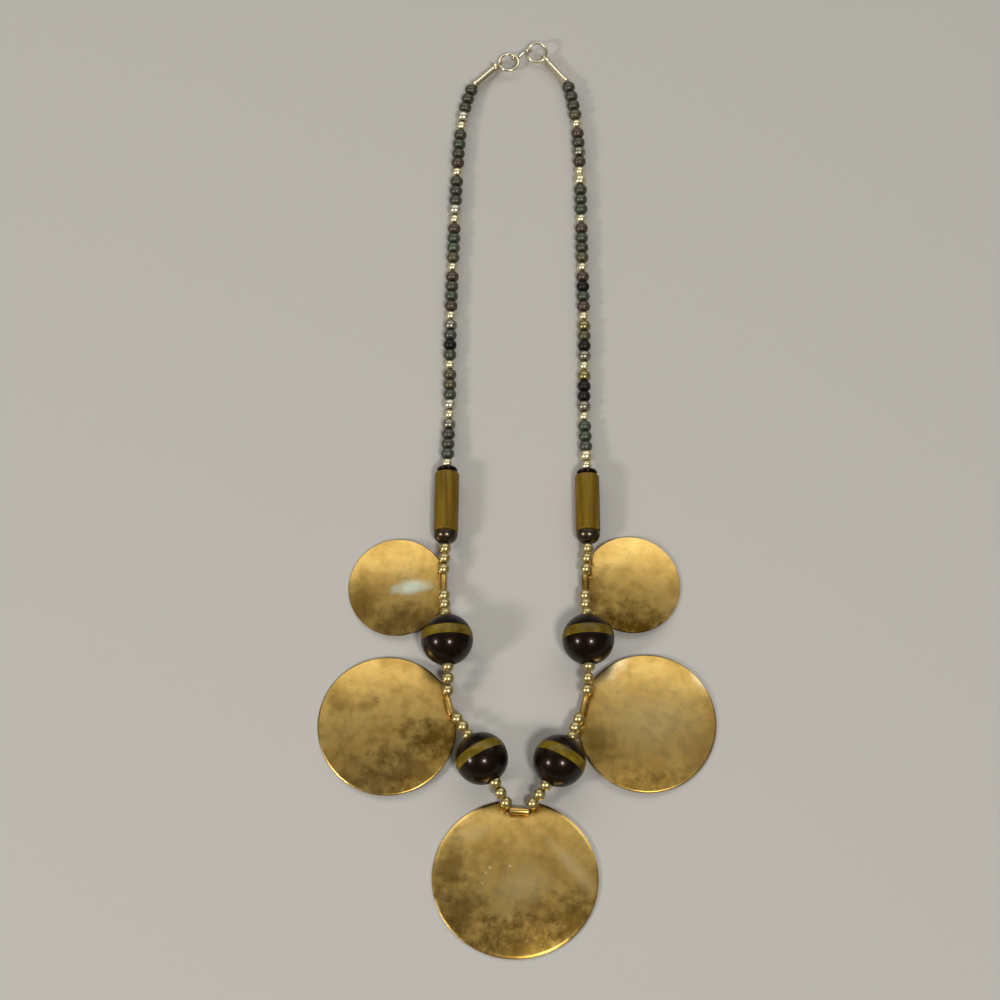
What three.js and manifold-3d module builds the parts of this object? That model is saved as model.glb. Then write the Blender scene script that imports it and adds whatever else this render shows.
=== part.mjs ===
// Bib necklace: five domed brass discs on a string of brass balls, four large inlaid beads and two
// polished tubes, with two strands of small beads up to a hook-and-ring clasp, laid out flat.
// Millimetres. X runs across the necklace, Y from the largest disc up to the clasp, Z is up, and
// the origin is on the surface that it lies on, under the middle of its outline.

import * as THREE from 'three';
import { mergeVertices } from 'three/addons/utils/BufferGeometryUtils.js';
import Module from 'manifold-3d';

const wasm = await Module();
wasm.setup();

// Space between neighbours on the thread, and round each inlaid band
const GAP = 0.2;

// Discs of thin sheet brass, domed, with a tongue in a notch of the rim rolled into a tube for the
// thread: how far in from the rim its axis lies, its length, and how deep it sits in the sheet
const SHEET = 0.6;
const LARGE_DISC = { radius: 21.9, rise: 2, inset: 3.5, tubeLength: 5.1, notch: 5.6 };
const MEDIUM_DISC = { radius: 19.2, rise: 1.8, inset: 1.3, tubeLength: 5.4, notch: 5.9 };
const SMALL_DISC = { radius: 13.9, rise: 1.4, inset: 0.8, tubeLength: 4.6, notch: 5.2 };
const DISC_WIDTH_SHARE = 1.03;
const ROLL_RADIUS = 1.05;
const ROLL_BORE = 0.5;
const ROLL_SEAT = 0.2;
const ROLL_HEIGHT = 3.8;
const LARGE_ROLL_HEIGHT = 2.6;

// Brass balls, bored for the thread
const BALL_RADIUS = 1.68;
const BALL_BORE = 0.6;
const BALL_HALF_LENGTH = Math.sqrt(BALL_RADIUS ** 2 - BALL_BORE ** 2);
const BALLS_IN_RUN = 3;

// Large black beads with a band let in, a little nearer the clasp than the middle
const BEAD_RADIUS = 7.25;
const BEAD_HALF_LENGTH = 6.8;
const BEAD_ROUNDNESS = 7.2;
const BEAD_BORE = 0.8;
const BEAD_MOUTH = 2;
const MOUTH_DEPTH = 1.2;
const BALL_TUCK = 0.85;
const BAND_WIDTH = 2.8;
const BAND_SHIFT = 1.1;
const BAND_DEPTH = 1;

// Polished tubes with a black disc above and a dark domed cap below
const TUBE_RADIUS = 3.5;
const LEFT_TUBE_LENGTH = 18;
const RIGHT_TUBE_LENGTH = 17.1;
const TUBE_BEVEL = 0.5;
const SPACER_RADIUS = 2.95;
const SPACER_LENGTH = 1.2;
const CAP_RADIUS = 3.4;
const CAP_LENGTH = 2.9;
const CAP_TIP_RADIUS = 1.8;
const TUBE_BORE = 0.8;

// Strands of small beads: four dark ones, then a metal one, eight times over
const SEED_RADIUS = 1.93;
const METAL_SEED_RADIUS = 1.55;
const SEED_NECK = 0.9;
const SEED_COUNT = 40;
const SEED_GROUP = 5;
const FLOOR_SLACK = 0.08;

// Cord ends: a turned sleeve with a collar at each end and a wire eye
const SLEEVE_RADIUS = 1.08;
const SLEEVE_LENGTH = 7.5;
const LOW_COLLAR_RADIUS = 1.45;
const LOW_COLLAR_LENGTH = 1.1;
const LEFT_COLLAR_RADIUS = 1.7;
const LEFT_COLLAR_LENGTH = 0.8;
const RIGHT_COLLAR_RADIUS = 1.3;
const RIGHT_COLLAR_LENGTH = 1.3;
const EYE_RADIUS = 1.03;
const EYE_WIRE = 0.28;
const EYE_NECK = 0.45;

// Clasp: a hook of bent wire between two wire rings
const RING_RADIUS = 2.9;
const RING_WIRE = 0.4;
const HOOK_WIRE = 0.45;
const HOOK_BEND = 1.15;
const HOOK_REACH = 3.9;
const HOOK_PLACE = [1.84, 135.8];
const HOOK_TURN = 27.8;

// How each ring lies from the hook to its eye, in degrees, and how far round it the eye sits
const CLASP_SIDES = {
  left: { way: -1, ringTurn: 206, chord: 0.975, lean: 4, sleeveTurn: 224 },
  right: { way: 1, ringTurn: -25.5, chord: 0.95, lean: 20, sleeveTurn: -51 },
};

// Facets of the round pieces
const DISC_FACETS = 28;
const BALL_FACETS = 10;
const BEAD_FACETS = 16;
const TUBE_FACETS = 16;
const WIRE_FACETS = 6;
const ROUTE_STEPS = 40;
const THREAD_STEP = 0.02;

// Heights of the thread: through the small beads, and in the balls beside a roll or a bead
const STRAND_HEIGHT = SEED_RADIUS + FLOOR_SLACK;
const BESIDE_ROLL = 4.85;
const BESIDE_LARGE_ROLL = 3.1;
const BESIDE_BEAD = 6.3;
const IN_BEAD = BEAD_RADIUS;
const IN_TUBE = TUBE_RADIUS + FLOOR_SLACK;

// Route of the thread from the middle of the large disc's roll up to the cord ends. The thread
// runs straight for half a length either way of a stop that has one.
const ROUTE = [
  { left: [0.4, -100.4], right: [0.4, -100.4], height: LARGE_ROLL_HEIGHT, straight: 2 },
  { left: [-2.8, -98.9], right: [3.8, -98.9], height: BESIDE_LARGE_ROLL },
  { left: [-4.8, -96], right: [6, -96.4], height: 5.2 },
  { left: [-9.5, -87.6], right: [11.2, -87.9], height: IN_BEAD, straight: 7.5 },
  { left: [-14.6, -78.3], right: [15.6, -78.3], height: BESIDE_BEAD },
  { left: [-16.2, -75.2], right: [16.6, -75.1], height: BESIDE_ROLL },
  { left: [-18.7, -70.9], right: [18.4, -70.9], height: ROLL_HEIGHT, straight: 2.2 },
  { left: [-19, -66.5], right: [19.2, -66.7], height: BESIDE_ROLL },
  { left: [-19.2, -63.4], right: [19.5, -63.5], height: BESIDE_BEAD },
  { left: [-19.5, -53.1], right: [19.6, -52.9], height: IN_BEAD, straight: 7.9 },
  { left: [-20.2, -42.4], right: [19, -42.7], height: BESIDE_BEAD },
  { left: [-20.4, -39], right: [19, -39.2], height: BESIDE_ROLL },
  { left: [-20.6, -34.6], right: [19.1, -34.9], height: ROLL_HEIGHT, straight: 2 },
  { left: [-20.6, -31], right: [19.4, -31.2], height: BESIDE_ROLL },
  { left: [-20.2, -24], right: [19.9, -24], height: IN_TUBE },
  { left: [-20, -10.9], right: [20, -11.2], height: IN_TUBE, straight: 9.3 },
  { left: [-19.7, 8], right: [19.7, 7.5], height: 2.5 },
  { left: [-19.3, 18], right: [19.4, 18], height: STRAND_HEIGHT },
  { left: [-19.3, 40], right: [19.7, 40], height: STRAND_HEIGHT },
  { left: [-18.7, 64], right: [19.4, 64], height: STRAND_HEIGHT },
  { left: [-17.8, 90], right: [19.1, 90], height: STRAND_HEIGHT },
  { left: [-16.7, 108], right: [18.5, 108], height: STRAND_HEIGHT },
  { left: [-15, 118.5], right: [17.3, 118], height: STRAND_HEIGHT },
];

// Degrees that each disc has swung off square to its thread
const LARGE_SWING = -8;
const DISC_SWING = { left_medium: -3, right_medium: 3, left_small: 0, right_small: 4 };

const material = (color, roughness, metalness) =>
  new THREE.MeshStandardMaterial({ color, roughness, metalness });
const BRASS = material(0xb9944a, 0.4, 1);
const BALL_BRASS = material(0xc9a963, 0.25, 1);
const BEAD_BLACK = material(0x120c09, 0.12, 0);
const HORN = material(0x6b5211, 0.3, 0);
const JET = material(0x0b0808, 0.2, 0);
const DARK_METAL = material(0x3a3833, 0.25, 1);
const SEED_GLASS = material(0x23291f, 0.2, 0);
const PALE_METAL = material(0xcbbd97, 0.28, 1);

const UP = new THREE.Vector3(0, 0, 1);
const radians = THREE.MathUtils.degToRad;

// Merges shared corners, drops triangles with no area and turns the faces outwards
function closed(geometry) {
  const bare = geometry.clone();
  bare.deleteAttribute('normal');
  bare.deleteAttribute('uv');
  const merged = mergeVertices(bare, 1e-4);
  const at = merged.getAttribute('position');
  const corner = (i) => new THREE.Vector3().fromBufferAttribute(at, i);
  const index = [];
  let volume = 0;
  for (let i = 0; i < merged.index.count; i += 3) {
    const [a, b, c] = [0, 1, 2].map((k) => merged.index.getX(i + k));
    if (a === b || b === c || c === a) continue;
    index.push(a, b, c);
    volume += corner(a).dot(corner(b).cross(corner(c)));
  }
  merged.setIndex(volume < 0 ? index.reverse() : index);
  merged.computeVertexNormals();
  return merged;
}

// Hands a closed geometry to the boolean kernel, and takes one back
function solid(geometry) {
  const shape = closed(geometry);
  const vertProperties = Float32Array.from(shape.getAttribute('position').array);
  const triVerts = Uint32Array.from(shape.index.array);
  return new wasm.Manifold(new wasm.Mesh({ numProp: 3, vertProperties, triVerts }));
}

function geometryOf(manifold) {
  const mesh = manifold.getMesh();
  const geometry = new THREE.BufferGeometry();
  geometry.setAttribute('position', new THREE.BufferAttribute(mesh.vertProperties, 3));
  geometry.setIndex(new THREE.BufferAttribute(mesh.triVerts, 1));
  geometry.computeVertexNormals();
  return geometry;
}

// Turns a profile of [radius, height] pairs round +Z
function turned(profile, facets) {
  const points = profile.map(([radius, height]) => new THREE.Vector2(radius, height));
  return closed(new THREE.LatheGeometry(points, facets).rotateX(Math.PI / 2));
}

// Points of an ellipse's arc between two angles, as [radius, height] pairs
function arc(radius, height, from, to, steps) {
  const angles = Array.from({ length: steps + 1 }, (_, i) => from + ((to - from) * i) / steps);
  return angles.map((angle) => [radius * Math.cos(angle), height * Math.sin(angle)]);
}

// A domed disc whose rolled tube lies along X through the origin, with the disc on its -Y side
const domeTop = (r, radius, rise) => SHEET + rise * (1 - (r / radius) ** 2);

function rollLift({ radius, rise, inset }) {
  return domeTop(radius - inset, radius, rise) + ROLL_RADIUS - ROLL_SEAT;
}

function discGeometry({ radius, rise, inset, tubeLength, notch }) {
  const rings = [0, 0.35, 0.62, 0.84, 1].map((share) => share * radius);
  const under = rings.map((r) => [r, domeTop(r, radius, rise) - SHEET]);
  const over = [...rings].reverse().map((r) => [r, domeTop(r, radius, rise)]);
  const lift = rollLift({ radius, rise, inset });
  const dome = turned([...under, ...over], DISC_FACETS).scale(DISC_WIDTH_SHARE, 1, 1);
  dome.translate(0, inset - radius, -lift);
  const slot = new THREE.BoxGeometry(notch, 2 * inset, 4 * lift);
  slot.translate(0, inset + ROLL_SEAT, 0);
  const ring = new THREE.Shape().absarc(0, 0, ROLL_RADIUS, 0, 2 * Math.PI);
  ring.holes.push(new THREE.Path().absarc(0, 0, ROLL_BORE, 0, 2 * Math.PI));
  const roll = new THREE.ExtrudeGeometry(ring, {
    depth: tubeLength, bevelEnabled: false, steps: 1, curveSegments: WIRE_FACETS,
  });
  roll.translate(0, 0, -tubeLength / 2).rotateY(Math.PI / 2);
  return geometryOf(solid(dome).subtract(solid(slot)).add(solid(roll)));
}

// A ball with flat ends where it is bored
function ballGeometry() {
  const bored = Math.acos(BALL_BORE / BALL_RADIUS);
  const skin = arc(BALL_RADIUS, BALL_RADIUS, -bored, bored, 4);
  return turned([...skin, skin[0]], BALL_FACETS);
}

// Large bead: an oblate body cut flat at its bored ends, with a groove for the band
const beadSkin = (height) => BEAD_RADIUS * Math.sqrt(1 - (height / BEAD_ROUNDNESS) ** 2);
const GROOVE_HALF = BAND_WIDTH / 2 + GAP / 2;

function beadGeometry() {
  const end = BEAD_HALF_LENGTH;
  const floor = BEAD_RADIUS - BAND_DEPTH;
  const half = (way) => {
    const groove = BAND_SHIFT + way * GROOVE_HALF;
    const steps = [0, 0.4, 0.75, 1].map((share) => groove + share * (way * end - groove));
    const skin = steps.map((height) => [beadSkin(height), height]);
    return [[floor, groove], ...skin, [BEAD_MOUTH, way * end], [BEAD_BORE, way * (end - MOUTH_DEPTH)]];
  };
  const profile = [...half(-1).reverse(), ...half(1)];
  return turned([...profile, profile[0]], BEAD_FACETS);
}

function bandGeometry() {
  const [low, top] = [-1, 1].map((way) => BAND_SHIFT + (way * BAND_WIDTH) / 2);
  const inner = BEAD_RADIUS - BAND_DEPTH + GAP / 2;
  const skin = [low, BAND_SHIFT, top].map((height) => [beadSkin(height), height]);
  return turned([[inner, low], ...skin, [inner, top], [inner, low]], BEAD_FACETS);
}

// Tube with bevelled, bored ends
function tubeGeometry(length) {
  const half = length / 2;
  const flat = TUBE_RADIUS - TUBE_BEVEL;
  const skin = [[flat, -half], [TUBE_RADIUS, TUBE_BEVEL - half], [TUBE_RADIUS, half - TUBE_BEVEL]];
  const profile = [[TUBE_BORE, -half], ...skin, [flat, half], [TUBE_BORE, half]];
  return turned([...profile, profile[0]], TUBE_FACETS);
}

function spacerGeometry() {
  const half = SPACER_LENGTH / 2;
  const face = SPACER_RADIUS - half;
  const profile = [[TUBE_BORE, -half], [face, -half], [SPACER_RADIUS, 0], [face, half]];
  return turned([...profile, [TUBE_BORE, half], profile[0]], TUBE_FACETS);
}

// Domed cap: open side at the tube, narrowing to the first ball; its length runs along +Z
function capGeometry() {
  const half = CAP_LENGTH / 2;
  const bored = Math.acos(CAP_TIP_RADIUS / CAP_RADIUS);
  const skin = arc(CAP_RADIUS, CAP_LENGTH / Math.sin(bored), -bored, 0, 5);
  const placed = skin.map(([radius, height]) => [radius, height + half]);
  const profile = [[TUBE_BORE, -half], ...placed, [TUBE_BORE, half]];
  return turned([...profile, profile[0]], TUBE_FACETS);
}

// A string of small beads turned as one piece, then bent along its route
function strandGeometry(route, from, to) {
  const pitch = (to - from) / SEED_COUNT;
  const profile = [[0, 0], [SEED_NECK, 0]];
  for (let i = 0; i < SEED_COUNT; i += 1) {
    const radius = i % SEED_GROUP === 0 ? METAL_SEED_RADIUS : SEED_RADIUS;
    const waist = i + 1 < SEED_COUNT ? SEED_NECK : SEED_NECK * 0.9;
    profile.push([radius, (i + 0.22) * pitch], [radius, (i + 0.78) * pitch], [waist, (i + 1) * pitch]);
  }
  profile.push([0, SEED_COUNT * pitch]);
  const straight = turned(profile, BALL_FACETS);
  const at = straight.getAttribute('position');
  for (let i = 0; i < at.count; i += 1) {
    const { centre, along } = pointOn(route, from + at.getZ(i));
    const side = new THREE.Vector3().crossVectors(along, UP).normalize();
    const top = new THREE.Vector3().crossVectors(side, along);
    centre.addScaledVector(side, at.getX(i)).addScaledVector(top, at.getY(i));
    at.setXYZ(i, centre.x, centre.y, centre.z);
  }
  return closed(straight);
}

// Cord end along +Z from its lower face, with the eye upright at its tip
const SLEEVE_TIP = SLEEVE_LENGTH + LOW_COLLAR_LENGTH + LEFT_COLLAR_LENGTH + GAP + EYE_RADIUS;

function cordEndGeometry(collarRadius, collarLength) {
  const steps = [0, LOW_COLLAR_LENGTH, LOW_COLLAR_LENGTH + SLEEVE_LENGTH];
  const collarTop = steps[2] + collarLength;
  const neckTop = SLEEVE_TIP - EYE_RADIUS + EYE_WIRE / 2;
  const sleeve = turned([
    [0, 0], [LOW_COLLAR_RADIUS, 0], [LOW_COLLAR_RADIUS, steps[1]], [SLEEVE_RADIUS, steps[1]],
    [SLEEVE_RADIUS, steps[2]], [collarRadius, steps[2]], [collarRadius, collarTop],
    [EYE_NECK, collarTop], [EYE_NECK, neckTop], [0, neckTop],
  ], BALL_FACETS);
  const eye = new THREE.TorusGeometry(EYE_RADIUS, EYE_WIRE, WIRE_FACETS, 12);
  eye.rotateY(Math.PI / 2).translate(0, 0, SLEEVE_TIP);
  return geometryOf(solid(sleeve).add(solid(eye)));
}

function ringGeometry() {
  return closed(new THREE.TorusGeometry(RING_RADIUS, RING_WIRE, WIRE_FACETS, 18));
}

// Hook: one wire in an S that stands on edge, low round one ring and high over the other
function hookGeometry() {
  const bend = (centre, degrees) => degrees.map((degree) => new THREE.Vector3(
    centre + HOOK_BEND * Math.cos(radians(degree)), HOOK_BEND * Math.sin(radians(degree)), 0));
  const middle = new THREE.Vector3(0, 0, 0);
  const low = bend(-HOOK_REACH / 2, [130, 180, 225, 270, 310]);
  const high = bend(HOOK_REACH / 2, [130, 90, 45, 0, -50]);
  const path = new THREE.CatmullRomCurve3([...low, middle, ...high], false, 'centripetal');
  const wire = new THREE.Shape().absarc(0, 0, HOOK_WIRE, 0, 2 * Math.PI);
  return closed(new THREE.ExtrudeGeometry(wire, {
    extrudePath: path, steps: 26, bevelEnabled: false, curveSegments: WIRE_FACETS / 2,
  }));
}

// Point and direction of a route at a length along it
function pointOn(route, length) {
  const share = THREE.MathUtils.clamp(length / route.curve.getLength(), 0, 1);
  return { centre: route.curve.getPointAt(share), along: route.curve.getTangentAt(share) };
}

const level = (degrees) =>
  new THREE.Vector3(Math.cos(radians(degrees)), Math.sin(radians(degrees)), 0);

// Where the hook's bends, the eyes and the sleeves lie on one side of the clasp
function claspSide(side) {
  const { way, ringTurn, chord, sleeveTurn } = CLASP_SIDES[side];
  const hook = new THREE.Vector3(...HOOK_PLACE, STRAND_HEIGHT);
  hook.addScaledVector(level(HOOK_TURN), (way * HOOK_REACH) / 2);
  const eye = hook.clone().addScaledVector(level(ringTurn), chord * 2 * RING_RADIUS);
  const base = eye.clone().addScaledVector(level(sleeveTurn), SLEEVE_TIP);
  return { hook, eye, base };
}

function makeRoute(side) {
  const stops = ROUTE.map((stop) => new THREE.Vector3(...stop[side], stop.height));
  const { base, eye } = claspSide(side);
  const far = new THREE.Vector3(...ROUTE[1][side === 'left' ? 'right' : 'left'], 0);
  const points = ROUTE.flatMap(({ straight }, i) => {
    if (!straight) return [stops[i]];
    const heading = stops[i + 1].clone().sub(i ? stops[i - 1] : far).setZ(0).normalize();
    return [-straight, straight].map((reach) => stops[i].clone().addScaledVector(heading, reach));
  });
  const curve = new THREE.CatmullRomCurve3([...points, base, eye], false, 'centripetal');
  curve.arcLengthDivisions = (points.length + 1) * ROUTE_STEPS;
  const end = curve.getLengths()[points.length * ROUTE_STEPS];
  return { side, curve, start: ROUTE[0].straight, end };
}

// Length along a route at which its straight distance from an earlier length is reached
function pastBy(route, from, distance) {
  const { centre } = pointOn(route, from);
  let length = from + distance;
  while (centre.distanceTo(pointOn(route, length).centre) < distance) length += THREAD_STEP;
  return length;
}

function named(name, geometry, surface) {
  const mesh = new THREE.Mesh(geometry, surface);
  mesh.name = name;
  return mesh;
}

const necklace = new THREE.Group();

// Sets a mesh midway between the two points of the route that its ends meet, +Z along the thread
function seat(mesh, route, length, half) {
  const ends = [-half, half].map((reach) => pointOn(route, length + reach).centre);
  mesh.position.copy(ends[0]).lerp(ends[1], 0.5);
  mesh.quaternion.setFromUnitVectors(UP, ends[1].sub(ends[0]).normalize());
  necklace.add(mesh);
  return mesh;
}

// Hangs a disc by its tube and lets it down until its far rim meets the surface
function seatDisc(name, route, length, disc) {
  const { radius, inset, outward, swing } = disc;
  const { centre, along } = pointOn(route, length);
  const across = new THREE.Vector3(along.x, along.y, 0).normalize().multiplyScalar(outward);
  across.applyAxisAngle(UP, radians(swing));
  const lift = rollLift(disc);
  const reach = 2 * radius - inset;
  const tilt = Math.asin(centre.z / Math.hypot(reach, lift)) - Math.atan2(lift, reach);
  const mesh = named(name, discGeometry(disc), BRASS);
  const inward = new THREE.Vector3().crossVectors(UP, across);
  const frame = new THREE.Matrix4().makeBasis(across, inward, UP);
  mesh.quaternion.setFromRotationMatrix(frame);
  mesh.rotateX(tilt);
  mesh.position.copy(centre);
  necklace.add(mesh);
}

// Threads one side, piece by piece, from the large disc's roll up to the cord end
function threadSide(side) {
  const route = makeRoute(side);
  const outward = side === 'left' ? -1 : 1;
  let place = route.start;
  let reach = LARGE_DISC.tubeLength / 2;
  let balls = 0;

  const next = (half) => {
    place = pastBy(route, place, reach + GAP + half);
    reach = half;
    return place;
  };
  const run = () => {
    for (let i = 0; i < BALLS_IN_RUN; i += 1) {
      balls += 1;
      const name = `${side}_brass_ball_${String(balls).padStart(2, '0')}`;
      seat(named(name, ballGeometry(), BALL_BRASS), route, next(BALL_HALF_LENGTH), BALL_HALF_LENGTH);
    }
  };
  const bead = (level) => {
    const middle = next(BEAD_HALF_LENGTH - BALL_TUCK);
    const body = named(`${side}_${level}_bead`, beadGeometry(), BEAD_BLACK);
    const band = named(`${side}_${level}_band`, bandGeometry(), HORN);
    for (const mesh of [body, band]) {
      seat(mesh, route, middle, BEAD_HALF_LENGTH).position.setZ(BEAD_RADIUS);
    }
  };
  const disc = (size, sizes) => {
    const swing = DISC_SWING[`${side}_${size}`];
    const middle = next(sizes.tubeLength / 2);
    seatDisc(`${side}_${size}_disc`, route, middle, { outward, swing, ...sizes });
  };

  run();
  bead('lower');
  run();
  disc('medium', MEDIUM_DISC);
  run();
  bead('upper');
  run();
  disc('small', SMALL_DISC);
  run();
  const tubeLength = side === 'left' ? LEFT_TUBE_LENGTH : RIGHT_TUBE_LENGTH;
  const cap = next(CAP_LENGTH / 2);
  seat(named(`${side}_dome_cap`, capGeometry(), DARK_METAL), route, cap, reach);
  const tube = next(tubeLength / 2);
  seat(named(`${side}_tube`, tubeGeometry(tubeLength), HORN), route, tube, reach);
  const spacer = next(SPACER_LENGTH / 2);
  seat(named(`${side}_black_spacer`, spacerGeometry(), JET), route, spacer, reach);
  const strand = strandGeometry(route, place + reach + GAP, route.end - GAP);
  necklace.add(named(`${side}_strand`, strand, SEED_GLASS));
  return route;
}

function addCordEnd(side, collarRadius, collarLength) {
  const { base, eye } = claspSide(side);
  const mesh = named(`${side}_cord_end`, cordEndGeometry(collarRadius, collarLength), PALE_METAL);
  const along = eye.clone().sub(base).normalize();
  const across = new THREE.Vector3().crossVectors(UP, along);
  mesh.quaternion.setFromRotationMatrix(new THREE.Matrix4().makeBasis(across, UP, along));
  mesh.position.copy(base);
  necklace.add(mesh);
}

// A ring through the hook's bend and the eye, leaning about the line between them
function addRing(side) {
  const { hook, eye } = claspSide(side);
  const along = eye.clone().sub(hook);
  const half = along.length() / 2;
  along.normalize();
  const across = new THREE.Vector3().crossVectors(UP, along);
  across.applyAxisAngle(along, radians(CLASP_SIDES[side].lean));
  const normal = new THREE.Vector3().crossVectors(along, across);
  const mesh = named(`${side}_ring`, ringGeometry(), PALE_METAL);
  mesh.quaternion.setFromRotationMatrix(new THREE.Matrix4().makeBasis(along, across, normal));
  mesh.position.copy(hook).addScaledVector(along, half);
  mesh.position.addScaledVector(across, Math.sqrt(RING_RADIUS ** 2 - half ** 2));
  necklace.add(mesh);
}

function addHook() {
  const mesh = named('hook', hookGeometry(), PALE_METAL);
  const along = level(HOOK_TURN);
  const across = new THREE.Vector3().crossVectors(along, UP);
  mesh.quaternion.setFromRotationMatrix(new THREE.Matrix4().makeBasis(along, UP, across));
  mesh.position.set(...HOOK_PLACE, STRAND_HEIGHT);
  necklace.add(mesh);
}

const leftRoute = threadSide('left');
threadSide('right');
seatDisc('large_disc', leftRoute, leftRoute.start, { outward: -1, swing: LARGE_SWING, ...LARGE_DISC });
addCordEnd('left', LEFT_COLLAR_RADIUS, LEFT_COLLAR_LENGTH);
addCordEnd('right', RIGHT_COLLAR_RADIUS, RIGHT_COLLAR_LENGTH);
addRing('left');
addRing('right');
addHook();

export default necklace;
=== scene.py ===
# %% [markdown]
# A bib necklace, laid out flat: domed brass discs and black beads on a string of brass balls, with
# two strands of small beads up to a hook and two rings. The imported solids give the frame. Every
# piece here is worked out again as a finer surface in the same place, and takes the solid's part.

# %% The tools, and the solids as a fixed frame
import math

import bmesh
import bpy
import numpy as np
from mathutils import Matrix, Vector


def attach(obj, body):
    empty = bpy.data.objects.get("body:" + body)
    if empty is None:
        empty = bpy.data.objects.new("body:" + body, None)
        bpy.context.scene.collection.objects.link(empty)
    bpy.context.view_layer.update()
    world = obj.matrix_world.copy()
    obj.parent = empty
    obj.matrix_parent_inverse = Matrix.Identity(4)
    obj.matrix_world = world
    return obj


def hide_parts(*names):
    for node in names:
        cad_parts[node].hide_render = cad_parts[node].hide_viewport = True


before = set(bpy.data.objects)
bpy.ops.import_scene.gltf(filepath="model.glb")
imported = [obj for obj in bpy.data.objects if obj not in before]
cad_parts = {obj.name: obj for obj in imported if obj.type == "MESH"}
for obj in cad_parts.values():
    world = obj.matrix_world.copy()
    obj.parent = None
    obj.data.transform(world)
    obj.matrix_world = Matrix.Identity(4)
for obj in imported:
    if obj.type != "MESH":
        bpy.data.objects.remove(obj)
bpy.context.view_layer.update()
MM = 0.001

# %% [markdown]
# The photograph looks down at the necklace from in front, about 21 degrees off straight down, with
# a long lens: the strands run up the picture almost side by side. The camera comes first, because
# how fine a surface has to be depends on how large it is in the picture.

# %% The camera: 68.5 degrees above the surface, 0.8 m away
CAMERA_TILT = math.radians(21.5)
CAMERA_DISTANCE = 0.798
CAMERA_LENS, CAMERA_SENSOR = 100.8, 36.0
CAMERA_NEAR = 0.01
CAMERA_AIM = Vector((-4.8, -8.55, 0.0)) * MM


def add_camera():
    """Backs away from the aim point along a line leaning CAMERA_TILT from the vertical."""
    data = bpy.data.cameras.new("camera")
    data.lens, data.sensor_width, data.clip_start = CAMERA_LENS, CAMERA_SENSOR, CAMERA_NEAR
    camera = bpy.data.objects.new("camera", data)
    bpy.context.scene.collection.objects.link(camera)
    back = Vector((0.0, -math.sin(CAMERA_TILT), math.cos(CAMERA_TILT)))
    camera.matrix_world = Matrix.Translation(CAMERA_AIM + back * CAMERA_DISTANCE) @ Matrix.Rotation(
        CAMERA_TILT, 4, "X")
    bpy.context.scene.camera = camera
    return camera


print("camera at", [round(v, 3) for v in add_camera().matrix_world.translation])

# %% [markdown]
# Everything on this necklace is threaded, so one route per side places it all. The stops are
# given, the same as in the solids. A centripetal spline, which never loops between
# unevenly spaced stops, joins them, and each piece takes its own length of it.

# %% Sizes in millimetres that the route needs, as in the solids
GAP = 0.2
FLOOR_SLACK = 0.08
ROLL_HEIGHT, LARGE_ROLL_HEIGHT = 3.8, 2.6
BEAD_RADIUS, TUBE_RADIUS, SEED_RADIUS = 7.25, 3.5, 1.93
STRAND_HEIGHT = SEED_RADIUS + FLOOR_SLACK
SLEEVE = dict(radius=1.08, length=7.5, low_radius=1.45, low_length=1.1, collar_room=0.8)
EYE_RADIUS, RING_RADIUS = 1.03, 2.9
SLEEVE_TIP = SLEEVE["length"] + SLEEVE["low_length"] + SLEEVE["collar_room"] + GAP + EYE_RADIUS
HOOK_REACH, HOOK_PLACE, HOOK_TURN = 3.9, (1.84, 135.8, STRAND_HEIGHT), 27.8
CLASP = {
    "left": dict(way=-1, ring_turn=206, chord=0.975, lean=4, sleeve_turn=224, collar=(1.7, 0.8)),
    "right": dict(way=1, ring_turn=-25.5, chord=0.95, lean=20, sleeve_turn=-51, collar=(1.3, 1.3)),
}
print("across in mm: large beads", 2 * BEAD_RADIUS, "tubes", 2 * TUBE_RADIUS, "small beads",
      2 * SEED_RADIUS)

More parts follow.
